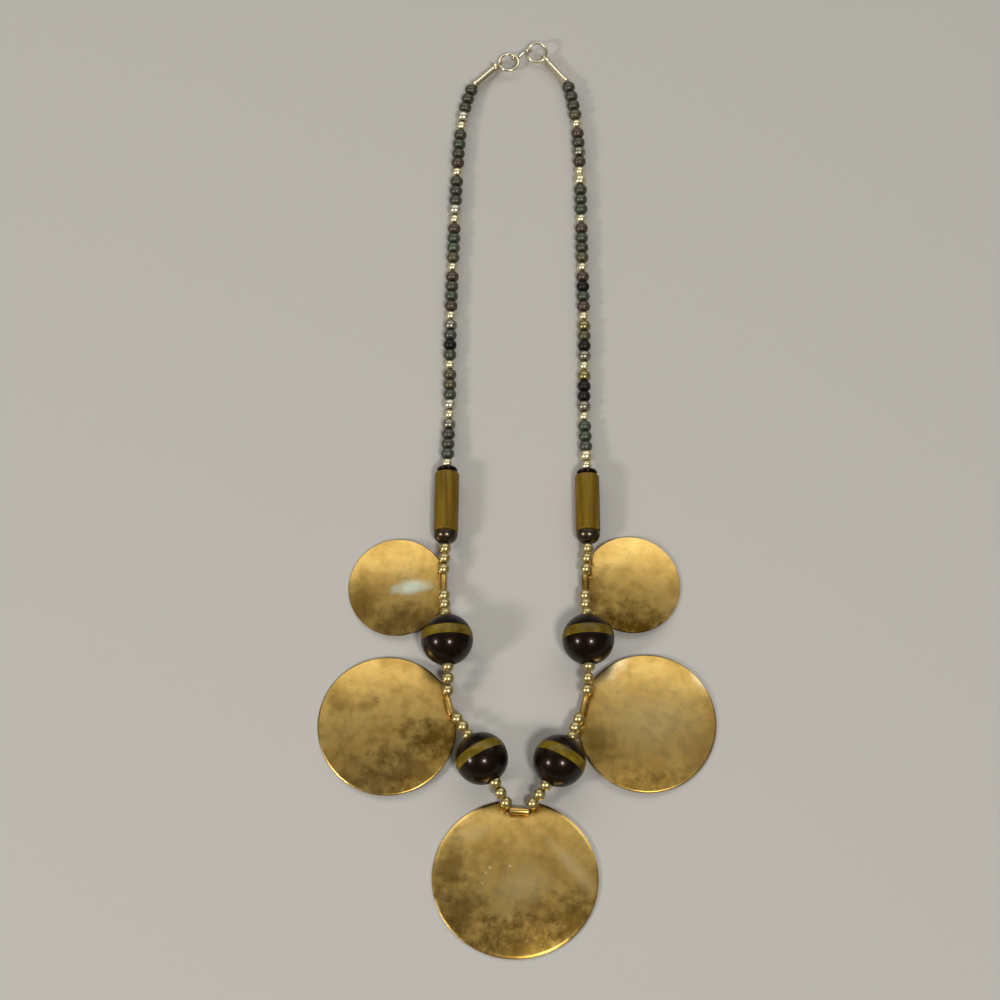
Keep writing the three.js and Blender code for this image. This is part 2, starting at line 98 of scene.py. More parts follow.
# %% The stops: left place, right place, height, and half the straight length through a piece
BESIDE_ROLL, BESIDE_LARGE_ROLL, BESIDE_BEAD = 4.85, 3.1, 6.3
IN_TUBE = TUBE_RADIUS + FLOOR_SLACK
STOPS = [
    ((0.4, -100.4), (0.4, -100.4), LARGE_ROLL_HEIGHT, 2),
    ((-2.8, -98.9), (3.8, -98.9), BESIDE_LARGE_ROLL, 0),
    ((-4.8, -96), (6, -96.4), 5.2, 0),
    ((-9.5, -87.6), (11.2, -87.9), BEAD_RADIUS, 7.5),
    ((-14.6, -78.3), (15.6, -78.3), BESIDE_BEAD, 0),
    ((-16.2, -75.2), (16.6, -75.1), BESIDE_ROLL, 0),
    ((-18.7, -70.9), (18.4, -70.9), ROLL_HEIGHT, 2.2),
    ((-19, -66.5), (19.2, -66.7), BESIDE_ROLL, 0),
    ((-19.2, -63.4), (19.5, -63.5), BESIDE_BEAD, 0),
    ((-19.5, -53.1), (19.6, -52.9), BEAD_RADIUS, 7.9),
    ((-20.2, -42.4), (19, -42.7), BESIDE_BEAD, 0),
    ((-20.4, -39), (19, -39.2), BESIDE_ROLL, 0),
    ((-20.6, -34.6), (19.1, -34.9), ROLL_HEIGHT, 2),
    ((-20.6, -31), (19.4, -31.2), BESIDE_ROLL, 0),
    ((-20.2, -24), (19.9, -24), IN_TUBE, 0),
    ((-20, -10.9), (20, -11.2), IN_TUBE, 9.3),
    ((-19.7, 8), (19.7, 7.5), 2.5, 0),
    ((-19.3, 18), (19.4, 18), STRAND_HEIGHT, 0),
    ((-19.3, 40), (19.7, 40), STRAND_HEIGHT, 0),
    ((-18.7, 64), (19.4, 64), STRAND_HEIGHT, 0),
    ((-17.8, 90), (19.1, 90), STRAND_HEIGHT, 0),
    ((-16.7, 108), (18.5, 108), STRAND_HEIGHT, 0),
    ((-15, 118.5), (17.3, 118), STRAND_HEIGHT, 0),
]
print("stops on each side:", len(STOPS))

# %% Where the clasp holds the ends of the thread
def unit(vector):
    """The vector over its own length."""
    return np.asarray(vector, float) / np.linalg.norm(vector)


def level(degrees):
    """The direction at this turn from +X on the surface: its cosine, its sine and no height."""
    return np.array([math.cos(math.radians(degrees)), math.sin(math.radians(degrees)), 0.0])


def clasp_side(side):
    """The hook's bend is half its reach from its middle, the eye a chord of the ring beyond it,
    and the sleeve's foot a sleeve's length beyond the eye."""
    sizes = CLASP[side]
    hook = np.array(HOOK_PLACE) + level(HOOK_TURN) * sizes["way"] * HOOK_REACH / 2
    eye = hook + level(sizes["ring_turn"]) * sizes["chord"] * 2 * RING_RADIUS
    return hook, eye, eye + level(sizes["sleeve_turn"]) * SLEEVE_TIP


print("eyes in mm:", {side: np.round(clasp_side(side)[1], 1).tolist() for side in CLASP})

# %% The spline, and each side's route along it
ROUTE_STEPS = 400


def spline(points, steps):
    """Centripetal: the knots stand apart by the square root of the distances, and each stretch
    is a cubic whose end slopes come from the knots on both sides."""
    points = np.vstack([2 * points[0] - points[1], points, 2 * points[-1] - points[-2]])
    knots = np.sqrt(np.linalg.norm(np.diff(points, axis=0), axis=1))[:, None]
    before, here, after = knots[:-2], knots[1:-1], knots[2:]
    p0, p1, p2, p3 = points[:-3], points[1:-2], points[2:-1], points[3:]
    slope1 = ((p1 - p0) / before - (p2 - p0) / (before + here) + (p2 - p1) / here) * here
    slope2 = ((p2 - p1) / here - (p3 - p1) / (here + after) + (p3 - p2) / after) * here
    t = np.linspace(0, 1, steps, endpoint=False)[:, None, None]
    cubic = ((2 * t**3 - 3 * t**2 + 1) * p1 + (t**3 - 2 * t**2 + t) * slope1
             + (3 * t**2 - 2 * t**3) * p2 + (t**3 - t**2) * slope2)
    return np.vstack([cubic.transpose(1, 0, 2).reshape(-1, 3), points[-2]])


class Route:
    """A side's thread as a dense line, with the length along it at every point. A stop with a
    straight length becomes two points, that far before and after it along the line between its
    neighbours."""

    def __init__(self, side):
        column = 0 if side == "left" else 1
        places = [np.array([*stop[column], stop[2]], float) for stop in STOPS]
        far = np.array([*STOPS[1][1 - column], 0.0])
        points = []
        for i, (place, stop) in enumerate(zip(places, STOPS)):
            if not stop[3]:
                points.append(place)
                continue
            heading = places[i + 1] - (places[i - 1] if i else far)
            heading = unit(heading * [1, 1, 0])
            points += [place - heading * stop[3], place + heading * stop[3]]
        _, eye, base = clasp_side(side)
        self.line = spline(np.array([*points, base, eye]), ROUTE_STEPS)
        steps = np.linalg.norm(np.diff(self.line, axis=0), axis=1)
        self.lengths = np.concatenate([[0], np.cumsum(steps)])
        self.start = STOPS[0][3]
        self.end = self.lengths[len(points) * ROUTE_STEPS]

    def at(self, length):
        """The place at a length along the thread, straight between the two points beside it."""
        columns = [np.interp(length, self.lengths, self.line[:, i]) for i in range(3)]
        return np.stack(columns, axis=-1)

    def past_by(self, length, distance):
        """First length beyond this one whose straight distance from it is the distance."""
        away = np.linalg.norm(self.line - self.at(length), axis=1)
        return self.lengths[(self.lengths > length + 0.5 * distance) & (away >= distance)][0]


routes = {side: Route(side) for side in ("left", "right")}
print("thread lengths in mm:", {side: round(route.end, 1) for side, route in routes.items()})

# %% [markdown]
# A mesh here is a grid of points with quads between neighbours. A grid that closes on itself both
# ways is a solid with a hole through it, as every threaded piece is, so it has no seams or poles.

# %% From grids of points to an object
WELD_DISTANCE = 1e-7


def quads(rows, columns, wrap_rows, wrap_columns):
    """Four corners for each cell: a point, its neighbour along the row, and the two beyond."""
    i, j = np.meshgrid(np.arange(rows if wrap_rows else rows - 1),
                       np.arange(columns if wrap_columns else columns - 1), indexing="ij")
    next_i, next_j = (i + 1) % rows, (j + 1) % columns
    corners = [i * columns + j, next_i * columns + j, next_i * columns + next_j, i * columns + next_j]
    return np.stack(corners, axis=-1).reshape(-1, 4)


def make_object(name, grids, material, sharp=40):
    """Joins grids (points, wrap rows, wrap columns) into one mesh, in metres, faces outwards, with
    edges that turn by more than the sharp angle left sharp."""
    points, faces, first = [], [], 0
    for grid, wrap_rows, wrap_columns in grids:
        points.append(grid.reshape(-1, 3) * MM)
        faces.append(quads(grid.shape[0], grid.shape[1], wrap_rows, wrap_columns) + first)
        first += grid.shape[0] * grid.shape[1]
    mesh = bpy.data.meshes.new(name)
    mesh.from_pydata(np.vstack(points).tolist(), [], np.vstack(faces).tolist())
    edit = bmesh.new()
    edit.from_mesh(mesh)
    bmesh.ops.remove_doubles(edit, verts=edit.verts, dist=WELD_DISTANCE)
    bmesh.ops.recalc_face_normals(edit, faces=edit.faces)
    edit.to_mesh(mesh)
    edit.free()
    mesh.polygons.foreach_set("use_smooth", np.ones(len(mesh.polygons), bool))
    mesh.set_sharp_from_angle(angle=math.radians(sharp))
    mesh.materials.append(material)
    thing = bpy.data.objects.new(name, mesh)
    bpy.context.scene.collection.objects.link(thing)
    return thing


def stand_for(thing, node_name):
    """The piece rides on the one body and takes the solid's part."""
    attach(thing, "root")
    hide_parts(node_name)


print("quads of a 3 by 4 grid, closed both ways:", len(quads(3, 4, True, True)))

# %% Outlines, and how they are turned and put in place
def turn(profile, facets):
    """Carries a closed outline of radius and height once round the +Z axis: the radius times the
    cosine and sine of the turn, and the height."""
    profile = np.asarray(profile, float)
    angles = np.linspace(0, 2 * np.pi, facets, endpoint=False)
    radius, height = profile[:, None, 0], profile[:, None, 1]
    return np.stack([radius * np.cos(angles), radius * np.sin(angles),
                     np.broadcast_to(height, (len(profile), facets))], axis=-1)


def arc(centre, radii, start, stop, count):
    """Points of an ellipse from one angle to another, in degrees."""
    angles = np.radians(np.linspace(start, stop, count))
    return np.stack([centre[0] + radii[0] * np.cos(angles), centre[1] + radii[1] * np.sin(angles)], -1)


def axes_along(direction):
    """Three directions as columns, the last one along the thread and the second nearest to up."""
    along = unit(direction)
    side = unit(np.cross([0, 0, 1], along)) if abs(along[2]) < 0.99 else np.array([1.0, 0, 0])
    return np.stack([side, np.cross(along, side), along], axis=1)


def put(grid, axes, origin):
    """Each point as so much of every direction, from the origin."""
    return grid @ axes.T + origin


print("points of a ball's grid:", turn(arc((0, 0), (1, 1), -69, 69, 25), 32).shape[:2])

# %% [markdown]
# Finishes. Most of this necklace is brass that has been handled for years: warm where it is
# rubbed, olive where it has dulled. A metal's colour is what it reflects, so one hex value sets
# its hue, noise a few millimetres wide makes it cloudy, and a faint bump breaks up reflections.
# One function adds any node, so a material below reads as a list of what is joined to what.
# On the discs, patches of painted shade, painted highlights and one painted reflection are laid into the
# colour beside the tarnish.

# %% Helpers for node materials
def linear(hex_colour):
    """sRGB to linear: a straight line near black and a power of 2.4 above it."""
    values = [int(hex_colour[i:i + 2], 16) / 255 for i in (1, 3, 5)]
    return [v / 12.92 if v <= 0.04045 else ((v + 0.055) / 1.055) ** 2.4 for v in values]


def rgba(colour):
    """The four values of a hex colour, or of a grey that is given as a number."""
    return (*linear(colour), 1) if isinstance(colour, str) else (colour,) * 3 + (1,)


def node(tree, kind, settings=None, links=None):
    """Adds a node, sets its properties and its named or numbered sockets, and links outputs of
    others to it. The setting called stops is a colour ramp's list of places and colours."""
    made = tree.nodes.new(kind)
    for key, value in (settings or {}).items():
        if key == "stops":
            blend = made.color_ramp.elements
            while len(blend) < len(value):
                blend.new(0.5)
            for element, (place, colour) in zip(blend, value):
                element.position = place
                element.color = rgba(colour)
        elif isinstance(key, int) or key in made.inputs:
            made.inputs[key].default_value = value
        else:
            setattr(made, key, value)
    for key, output in (links or {}).items():
        tree.links.new(output, made.inputs[key])
    return made


def new_material(name):
    material = bpy.data.materials.new(name)
    material.use_nodes = True
    tree = material.node_tree
    return material, tree, tree.nodes["Principled BSDF"]


def blotches(tree, size_mm, detail=3.0, roughness=0.55):
    """Noise on Object coordinates divided by a size, so that one blotch is that size each way."""
    place = node(tree, "ShaderNodeTexCoord")
    own = node(tree, "ShaderNodeMapping", {"Scale": [1 / (MM * s) for s in size_mm]},
               {"Vector": place.outputs["Object"]})
    noise = node(tree, "ShaderNodeTexNoise", {"Scale": 1.0, "Detail": detail, "Roughness": roughness},
                 {"Vector": own.outputs[0]})
    return noise.outputs["Fac"]


print("linear values of a mid grey:", [round(value, 3) for value in linear("#808080")])

# %% Patches of tarnish and painted light: how a patch is frayed, and how its colour is laid over the brass
PATCH_DEPTH = 60


def combined(tree, first, share, second, other_share):
    """One value times its share plus another times its own."""
    part = node(tree, "ShaderNodeMath", {"operation": "MULTIPLY", 1: share}, {0: first})
    whole = node(tree, "ShaderNodeMath", {"operation": "MULTIPLY_ADD", 1: other_share},
                 {0: second, 2: part.outputs[0]})
    return whole.outputs[0]


def patch(tree, mottle, centre, radii, turned=0.0):
    """One less the distance from the middle of an ellipse on the floor plan, plus a share of the
    mottle, which frays its edge. It reaches far above and below, so every depth has it alike."""
    place = node(tree, "ShaderNodeTexCoord")
    own = node(tree, "ShaderNodeMapping", {
        "vector_type": "TEXTURE", "Location": [c * MM for c in (*centre, 0)],
        "Rotation": (0, 0, math.radians(turned)), "Scale": [r * MM for r in (*radii, PATCH_DEPTH)],
    }, {"Vector": place.outputs["Object"]})
    inside = node(tree, "ShaderNodeTexGradient", {"gradient_type": "SPHERICAL"}, {"Vector": own.outputs[0]})
    frayed = combined(tree, inside.outputs["Fac"], 0.6, mottle, 0.7)
    return node(tree, "ShaderNodeValToRGB", {"stops": [(0.5, 0.0), (0.84, 1.0)]},
                {"Fac": frayed}).outputs["Color"]


def laid_over(tree, factor, strength, under, over):
    """The colour below, moved towards the other one by the factor times the strength."""
    amount = node(tree, "ShaderNodeMath", {"operation": "MULTIPLY", 1: strength}, {0: factor})
    made = node(tree, "ShaderNodeMixRGB", {"Color2": rgba(over)},
                {"Fac": amount.outputs[0], "Color1": under})
    return made.outputs[0]


# %% The patches of tarnish, painted shade and painted highlights: middle and half widths in mm on the floor plan, turn, colour and strength
# The dark olive and brown patches are partly tarnish and partly painted shade: they darken the discs towards
# their lower sides and lay painted shadows beside the lower beads. The pale gold patches are painted
# highlights and reflections. OLIVE also colours the mottle of dulled brass.
OLIVE, DEEP_OLIVE, BROWN, PALE_GOLD, MINT_PAINTED_REFLECTION = "#80652a", "#66490a", "#785a28", "#f2dba2", "#f6ffe2"
TARNISH_AND_PAINTED_LIGHT = [
    # Medium left disc: a painted shadow beside the lower bead, then darker towards the lower and left sides,
    # partly tarnish and partly painted shade.
    ((-22, -80), (16, 9), -8, DEEP_OLIVE, 0.85),
    ((-28, -89), (18, 12), -25, DEEP_OLIVE, 0.55),
    ((-38, -92), (20, 10), -15, BROWN, 0.55),
    ((-49, -69), (6, 9), 0, OLIVE, 0.5),
    ((-41, -70), (5, 4), 0, OLIVE, 0.45),
    ((-30, -58), (9, 4), 0, OLIVE, 0.3),
    # Medium right disc: a painted shadow beside the lower bead, and darker towards the lower side, partly
    # tarnish and partly painted shade.
    ((22, -81), (8, 12), 20, OLIVE, 0.7),
    ((35, -97), (23, 11), 0, OLIVE, 0.75),
    ((36, -93), (10, 5), 10, BROWN, 0.3),
    # Painted highlights near the upper rim of the medium right disc, and a paler painted reflection over its
    # middle.
    ((25, -60), (12, 5), 35, PALE_GOLD, 0.8),
    ((51, -62), (4, 8), 35, PALE_GOLD, 0.9),
    ((37, -76), (22, 16), 0, PALE_GOLD, 0.25),
    # Large disc: darker towards the lower side, partly tarnish and partly painted shade.
    ((15, -130), (14, 12), 30, DEEP_OLIVE, 0.65),
    ((-16, -128), (13, 13), -25, DEEP_OLIVE, 0.55),
    ((-1, -139), (26, 13), 0, DEEP_OLIVE, 0.75),
    ((-18, -115), (7, 14), -15, OLIVE, 0.6),
    ((5, -130), (14, 9), 30, BROWN, 0.4),
    # Painted highlights and reflections higher up on the large disc, one of them a diagonal streak.
    ((15, -116), (3.5, 15), 42, PALE_GOLD, 0.45),
    ((1, -121), (13, 8), 20, PALE_GOLD, 0.35),
    ((-12, -107), (9, 4), 20, PALE_GOLD, 0.25),
    # Small discs: darker in places, most towards the lower sides, partly tarnish and partly painted shade.
    ((-31, -46), (15, 9), 0, BROWN, 0.7),
    ((-44, -38), (8, 11), 0, OLIVE, 0.7),
    ((31, -47), (19, 10), 0, DEEP_OLIVE, 0.95),
    ((20, -37), (7, 12), 0, OLIVE, 0.8),
    # A painted reflection in mint on the left small disc.
    ((-29.5, -36), (8.5, 3.4), 10, MINT_PAINTED_REFLECTION, 1.0),
]
SPECKS = [((-7.5, -116.3), 0.4), ((-2.1, -115.9), 0.4), ((-9.5, -120.5), 0.3), ((-8.6, -117.6), 0.3)]
print("patches of tarnish and painted light:", len(TARNISH_AND_PAINTED_LIGHT), "worn specks:", len(SPECKS))

# %% Brass sheet: rolled thin, domed over a stake, hand rubbed, with tarnish, painted shade and painted highlights in patches
WIDE_CLOUD, MOTTLE, RUBBING, HAMMERING = 12, 3.2, 0.6, 6
DENT_DEPTH = 0.07


def sheet_brass():
    """Clouds of three brass tones, a mottle of olive, then the patches and specks in turn. It is
    rougher where it is dull, and hammer marks with fine rubbing over them bend the reflections.
    The real rubbing is finer than a pixel, so it is drawn as coarse as it needs to show."""
    material, tree, shader = new_material("hand rubbed brass sheet with painted light")
    wide = blotches(tree, (WIDE_CLOUD,) * 3, 6.0, 0.62)
    mottle = blotches(tree, (MOTTLE,) * 3, 6.0, 0.65)
    brass = node(tree, "ShaderNodeValToRGB", {
        "stops": [(0.34, "#b8934c"), (0.5, "#cfaa5e"), (0.64, "#dbb86c")]}, {"Fac": wide})
    dulled = node(tree, "ShaderNodeValToRGB", {"stops": [(0.45, 0.0), (0.7, 1.0)]}, {"Fac": mottle})
    colour = laid_over(tree, dulled.outputs["Color"], 0.35, brass.outputs["Color"], OLIVE)
    # The patches lay tarnish, painted shade and painted highlights over the brass, one by one.
    for centre, radii, turned, over, strength in TARNISH_AND_PAINTED_LIGHT:
        colour = laid_over(tree, patch(tree, mottle, centre, radii, turned), strength, colour, over)
    for centre, radius in SPECKS:
        speck = patch(tree, mottle, centre, (radius * 2, radius * 2))
        colour = laid_over(tree, speck, 1.0, colour, PALE_GOLD)
    rough = node(tree, "ShaderNodeValToRGB", {"stops": [(0.35, 0.36), (0.62, 0.27)]},
                 {"Fac": combined(tree, wide, 0.5, mottle, 0.5)})
    dents = combined(tree, blotches(tree, (RUBBING,) * 3), 0.02,
                     blotches(tree, (HAMMERING,) * 3, 2.0), 1.0)
    bumps = node(tree, "ShaderNodeBump", {"Strength": 1.0, "Distance": DENT_DEPTH * MM},
                 {"Height": dents})
    tree.links.new(colour, shader.inputs["Base Color"])
    tree.links.new(rough.outputs["Color"], shader.inputs["Roughness"])
    tree.links.new(bumps.outputs["Normal"], shader.inputs["Normal"])
    shader.inputs["Metallic"].default_value = 1.0
    return material


disc_brass = sheet_brass()
print("nodes in the sheet brass:", len(disc_brass.node_tree.nodes))

# %% Plain metal, polished black pieces, horn, and beads with tints of their own
def metal(name, colour, roughness):
    material, _, shader = new_material(name)
    shader.inputs["Base Color"].default_value = rgba(colour)
    shader.inputs["Metallic"].default_value = 1.0
    shader.inputs["Roughness"].default_value = roughness
    return material


def dim_edges(tree, shader, gloss_level):
    """An oily film on a dark core: the gloss is full where it faces the eye and fades at the rim."""
    facing = node(tree, "ShaderNodeLayerWeight", {"Blend": 0.5})
    by_angle = node(tree, "ShaderNodeValToRGB", {
        "stops": [(0.35, gloss_level), (0.9, gloss_level * 0.15)]}, {"Fac": facing.outputs["Facing"]})
    tree.links.new(by_angle.outputs["Color"], shader.inputs["Specular IOR Level"])


def gloss(name, colour, haze, polish):
    """A dark core with a hazy sheen of its own under a thin clear polish that mirrors the lamps."""
    material, tree, shader = new_material(name)
    shader.inputs["Base Color"].default_value = rgba(colour)
    shader.inputs["Roughness"].default_value = haze
    shader.inputs["Specular Tint"].default_value = rgba("#d8a888")
    shader.inputs["Coat Weight"].default_value = polish
    shader.inputs["Coat Roughness"].default_value = 0.12
    dim_edges(tree, shader, 0.2)
    return material


def horn(name, grain_mm, stops):
    """Cut along its growth, so its streaks are longer one way, under a wax polish."""
    material, tree, shader = new_material(name)
    streaks = node(tree, "ShaderNodeValToRGB", {"stops": stops},
                   {"Fac": blotches(tree, grain_mm, 5.0, 0.6)})
    tree.links.new(streaks.outputs["Color"], shader.inputs["Base Color"])
    shader.inputs["Roughness"].default_value = 0.28
    dim_edges(tree, shader, 0.2)
    return material


def tinted(name, metallic, roughness):
    """Each bead's own tint is in the mesh's tint attribute."""
    material, tree, shader = new_material(name)
    tint = node(tree, "ShaderNodeAttribute", {"attribute_name": "tint"})
    tree.links.new(tint.outputs["Color"], shader.inputs["Base Color"])
    shader.inputs["Metallic"].default_value = metallic
    shader.inputs["Roughness"].default_value = roughness
    return material


# %% The other materials, and what each gives the eye
# Cast balls tumbled with grit are smooth but hazy: each shows one broad, soft highlight.
ball_brass = metal("tumbled brass", "#bfae78", 0.36)

# Moulded resin, buffed, is almost black, with a faint brown sheen round small clear highlights.
black_resin = gloss("black resin, buffed", "#0d0603", 0.32, 0.26)

# Horn turned on a lathe and waxed has streaks 14 mm long and 1.2 mm apart down the tube.
tube_horn = horn("olive horn tube", (1.2, 14, 1.2), [(0.3, "#543f03"), (0.5, "#684f05"), (0.7, "#7a6011")])

# A band cut across the horn shows its growth as soft blotches about as wide as itself.
band_horn = horn("olive horn band", (3.5, 3.5, 3.5), [(0.3, "#463703"), (0.5, "#614e06"), (0.68, "#80691a")])

# Pressed glass, fire polished, is deep black with a clean highlight.
jet_glass = gloss("jet black glass", "#060404", 0.3, 0.2)

# Cast bronze, blackened in a bath and rubbed, mirrors the room darkly.
dark_metal = metal("blackened bronze", "#54493a", 0.28)

# A thin plating over drawn wire keeps the wire's smoothness, so it is the brightest metal here.
pale_metal = metal("pale gold plating", "#ddd2b2", 0.24)

# Glass beads with a fired metal lustre show grey highlights, coloured by the glass below.
seed_glass = tinted("pressed glass with a dull metal lustre", 0.7, 0.4)

# Small cast beads, left as they came from the barrel, glint softly between the dark ones.
seed_metal = tinted("small cast metal beads", 1.0, 0.36)
print("materials:", len(bpy.data.materials))

# %% [markdown]
# A disc is thin sheet, domed as a low bowl upside down. At one side the rim is cut back as a notch
# and a tongue left in it is rolled up and over into a tube for the thread. The sheet is a grid of
# how far out and how far round, run out along the top, over the rounded edge and back underneath.

# %% Sizes of the discs in millimetres, and how each swings on its roll in degrees
SHEET = 0.6
DISC_WIDTH = 1.03
LARGE_DISC = dict(radius=21.9, rise=2.0, inset=3.5, tube=5.1, notch=5.6)
MEDIUM_DISC = dict(radius=19.2, rise=1.8, inset=1.3, tube=5.4, notch=5.9)
SMALL_DISC = dict(radius=13.9, rise=1.4, inset=0.8, tube=4.6, notch=5.2)
SWING = {"large": -8, "left_medium": -3, "right_medium": 3, "left_small": 0, "right_small": 4}
ROLL_RADIUS, ROLL_BORE, ROLL_SEAT, ROLL_END = 1.05, 0.5, 0.2, 245
print("discs across in mm:", [round(2 * disc["radius"] * DISC_WIDTH, 1)
                              for disc in (LARGE_DISC, MEDIUM_DISC, SMALL_DISC)])

# %% Discs
def dome_top(r, disc):
    """The sheet's thickness, plus the rise times one less the square of the share of the radius."""
    return SHEET + disc["rise"] * (1 - (r / disc["radius"]) ** 2)


def roll_lift(disc):
    """How high the roll's axis is over the rim's plane: it sits a little into the dome."""
    return dome_top(disc["radius"] - disc["inset"], disc) + ROLL_RADIUS - ROLL_SEAT


def sheet_grid(disc, rounds=180, rings=28, ease=0.16, inner=0.7, crowding=0.7):
    """Whole circles for the inner share of the way, up to nine tenths of the cut, then the rest
    of the way to the outline: the radius, or in the notch the cut over the cosine of the turn.
    The height is the dome's, less a round fall at the edge, and underneath less the sheet."""
    cut = disc["radius"] - disc["inset"] + ROLL_SEAT
    corner = math.atan2(disc["notch"] / 2 / DISC_WIDTH, cut)
    both_corners = np.array([corner, 2 * np.pi - corner])
    close_by = 1e-4
    turns = np.sort(np.concatenate([np.linspace(0, 2 * np.pi, rounds, endpoint=False),
                                    both_corners - close_by, both_corners + close_by]))
    in_notch = (turns < corner) | (turns > 2 * np.pi - corner)
    outline = np.where(in_notch, cut / np.cos(turns), disc["radius"])
    outwards = np.linspace(0, 1, rings) ** crowding
    shares = np.concatenate([outwards, outwards[::-1]])[:, None]
    over = (np.arange(2 * rings) < rings)[:, None]
    whole = 0.9 * cut
    past = np.clip((shares - inner) / (1 - inner), 0, 1)
    radius = whole * np.minimum(shares / inner, 1) + (outline - whole) * past
    round_off = np.clip((radius - (outline - ease)) / ease, 0, 1)
    fall = SHEET / 2 * (1 - np.sqrt(1 - 0.75 * round_off**2))
    height = dome_top(radius, disc) + np.where(over, -fall, fall - SHEET)
    return np.stack([DISC_WIDTH * radius * np.sin(turns),
                     radius * np.cos(turns) + disc["inset"] - disc["radius"],
                     height - roll_lift(disc)], axis=-1)


def roll_grid(disc, count=40, bevel=0.1, end_share=0.92):
    """A strip bent round the tube's axis, from under it up over the outside and almost back. At
    each end its thickness shrinks to a share, and then to nothing at its middle, which closes it."""
    outer = arc((0, 0), (ROLL_RADIUS, ROLL_RADIUS), -90, ROLL_END, count)
    inner = arc((0, 0), (ROLL_BORE, ROLL_BORE), ROLL_END, -90, count)
    section = np.vstack([outer, inner])
    half = disc["tube"] / 2
    places = [-half, -half, bevel - half, half - bevel, half, half]
    shares = [0, end_share, 1, 1, end_share, 0]
    middle = (ROLL_RADIUS + ROLL_BORE) / 2
    size = np.linalg.norm(section, axis=1, keepdims=True)
    rings = [section / size * (middle + (size - middle) * share) for share in shares]
    return np.stack([np.column_stack([np.full(len(section), x), ring])
                     for x, ring in zip(places, rings)])


def disc_axes(along, outward, height, disc, swing):
    """Across the tube, inwards and up, swung and tipped so that the far rim meets the surface:
    the arc sine of the height over the slant to that rim, less the slant's own angle."""
    swung = np.array(Matrix.Rotation(math.radians(swing), 3, "Z"))
    across = swung @ unit(along * [1, 1, 0]) * outward
    lift = roll_lift(disc)
    reach = 2 * disc["radius"] - disc["inset"]
    tilt = math.asin(height / math.hypot(reach, lift)) - math.atan2(lift, reach)
    tipped = np.array(Matrix.Rotation(tilt, 3, "X"))
    return np.stack([across, np.cross([0, 0, 1], across), np.array([0, 0, 1.0])], axis=1) @ tipped


def add_disc(name, route, length, outward, disc, swing):
    origin = route.at(length)
    along = unit(route.at(length + 0.01) - route.at(length - 0.01))
    axes = disc_axes(along, outward, origin[2], disc, swing)
    grids = [(put(sheet_grid(disc), axes, origin), False, True),
             (put(roll_grid(disc), axes, origin), False, True)]
    stand_for(make_object(name + "_sheet", grids, disc_brass, 35), name)


print("points in a disc's sheet and roll:", sheet_grid(LARGE_DISC).shape[:2],
      roll_grid(LARGE_DISC).shape[:2])

# %% [markdown]
# The turned pieces are outlines carried round the thread: balls, the large beads with a groove and
# a band let into it, the polished tubes, their caps and the black discs above them.

# %% Sizes of the turned pieces in millimetres
BALL_RADIUS, BALL_BORE, BALLS_IN_RUN = 1.68, 0.6, 3
BALL_HALF = math.sqrt(BALL_RADIUS**2 - BALL_BORE**2)
BEAD_HALF, BEAD_ROUNDNESS = 6.8, 7.2
BEAD_MOUTH, MOUTH_DEPTH, BEAD_BORE, BALL_TUCK = 2.0, 1.2, 0.8, 0.85
BAND_WIDTH, BAND_SHIFT, BAND_DEPTH = 2.8, 1.1, 1.0
TUBE_BORE = 0.8
TUBE_LENGTH = {"left": 18, "right": 17.1}
SPACER_RADIUS, SPACER_LENGTH = 2.95, 1.2
CAP_RADIUS, CAP_LENGTH, CAP_TIP, CAP_SKIRT = 3.4, 2.9, 1.8, 0.4
print("length of a ball and of a large bead in mm:", round(2 * BALL_HALF, 2), 2 * BEAD_HALF)

# %% Outlines of the turned pieces
def ball_outline():
    """A circle from where the bore cuts it to where it leaves it: the bore's share is a cosine."""
    bored = math.degrees(math.acos(BALL_BORE / BALL_RADIUS))
    return arc((0, 0), (BALL_RADIUS, BALL_RADIUS), -bored, bored, 25)


def bead_skin(height):
    """An ellipse's half width at a height: the radius times the root of one less its square."""
    return BEAD_RADIUS * np.sqrt(1 - (height / BEAD_ROUNDNESS) ** 2)


def bead_outline(slack=0.06, lip_width=0.12, lip_height=0.06):
    """An ellipse cut flat at both ends and drilled, with a groove nearer its upper end."""
    floor = BEAD_RADIUS - BAND_DEPTH
    halves = []
    for way in (-1, 1):
        groove = BAND_SHIFT + way * (BAND_WIDTH / 2 + slack)
        heights = BEAD_HALF * np.sin(np.linspace(math.asin(groove / BEAD_HALF), way * math.pi / 2, 22))
        skin = np.column_stack([bead_skin(heights), heights])
        halves.append(np.vstack([[[floor, groove]], skin, [
            [skin[-1, 0] - lip_width, way * (BEAD_HALF + lip_height)], [BEAD_MOUTH, way * BEAD_HALF],
            [BEAD_BORE, way * (BEAD_HALF - MOUTH_DEPTH)]]]))
    return np.vstack([halves[0][::-1], halves[1]])


def band_outline(crown=0.03, inlet=0.1):
    """The bead's own skin over the band's width, raised most at its middle, and square inside."""
    half = BAND_WIDTH / 2
    heights = np.linspace(BAND_SHIFT - half, BAND_SHIFT + half, 9)
    skin = bead_skin(heights) + crown * (1 - ((heights - BAND_SHIFT) / half) ** 2)
    inner = BEAD_RADIUS - BAND_DEPTH + inlet
    return np.vstack([[[inner, heights[0]]], np.column_stack([skin, heights]), [[inner, heights[-1]]]])


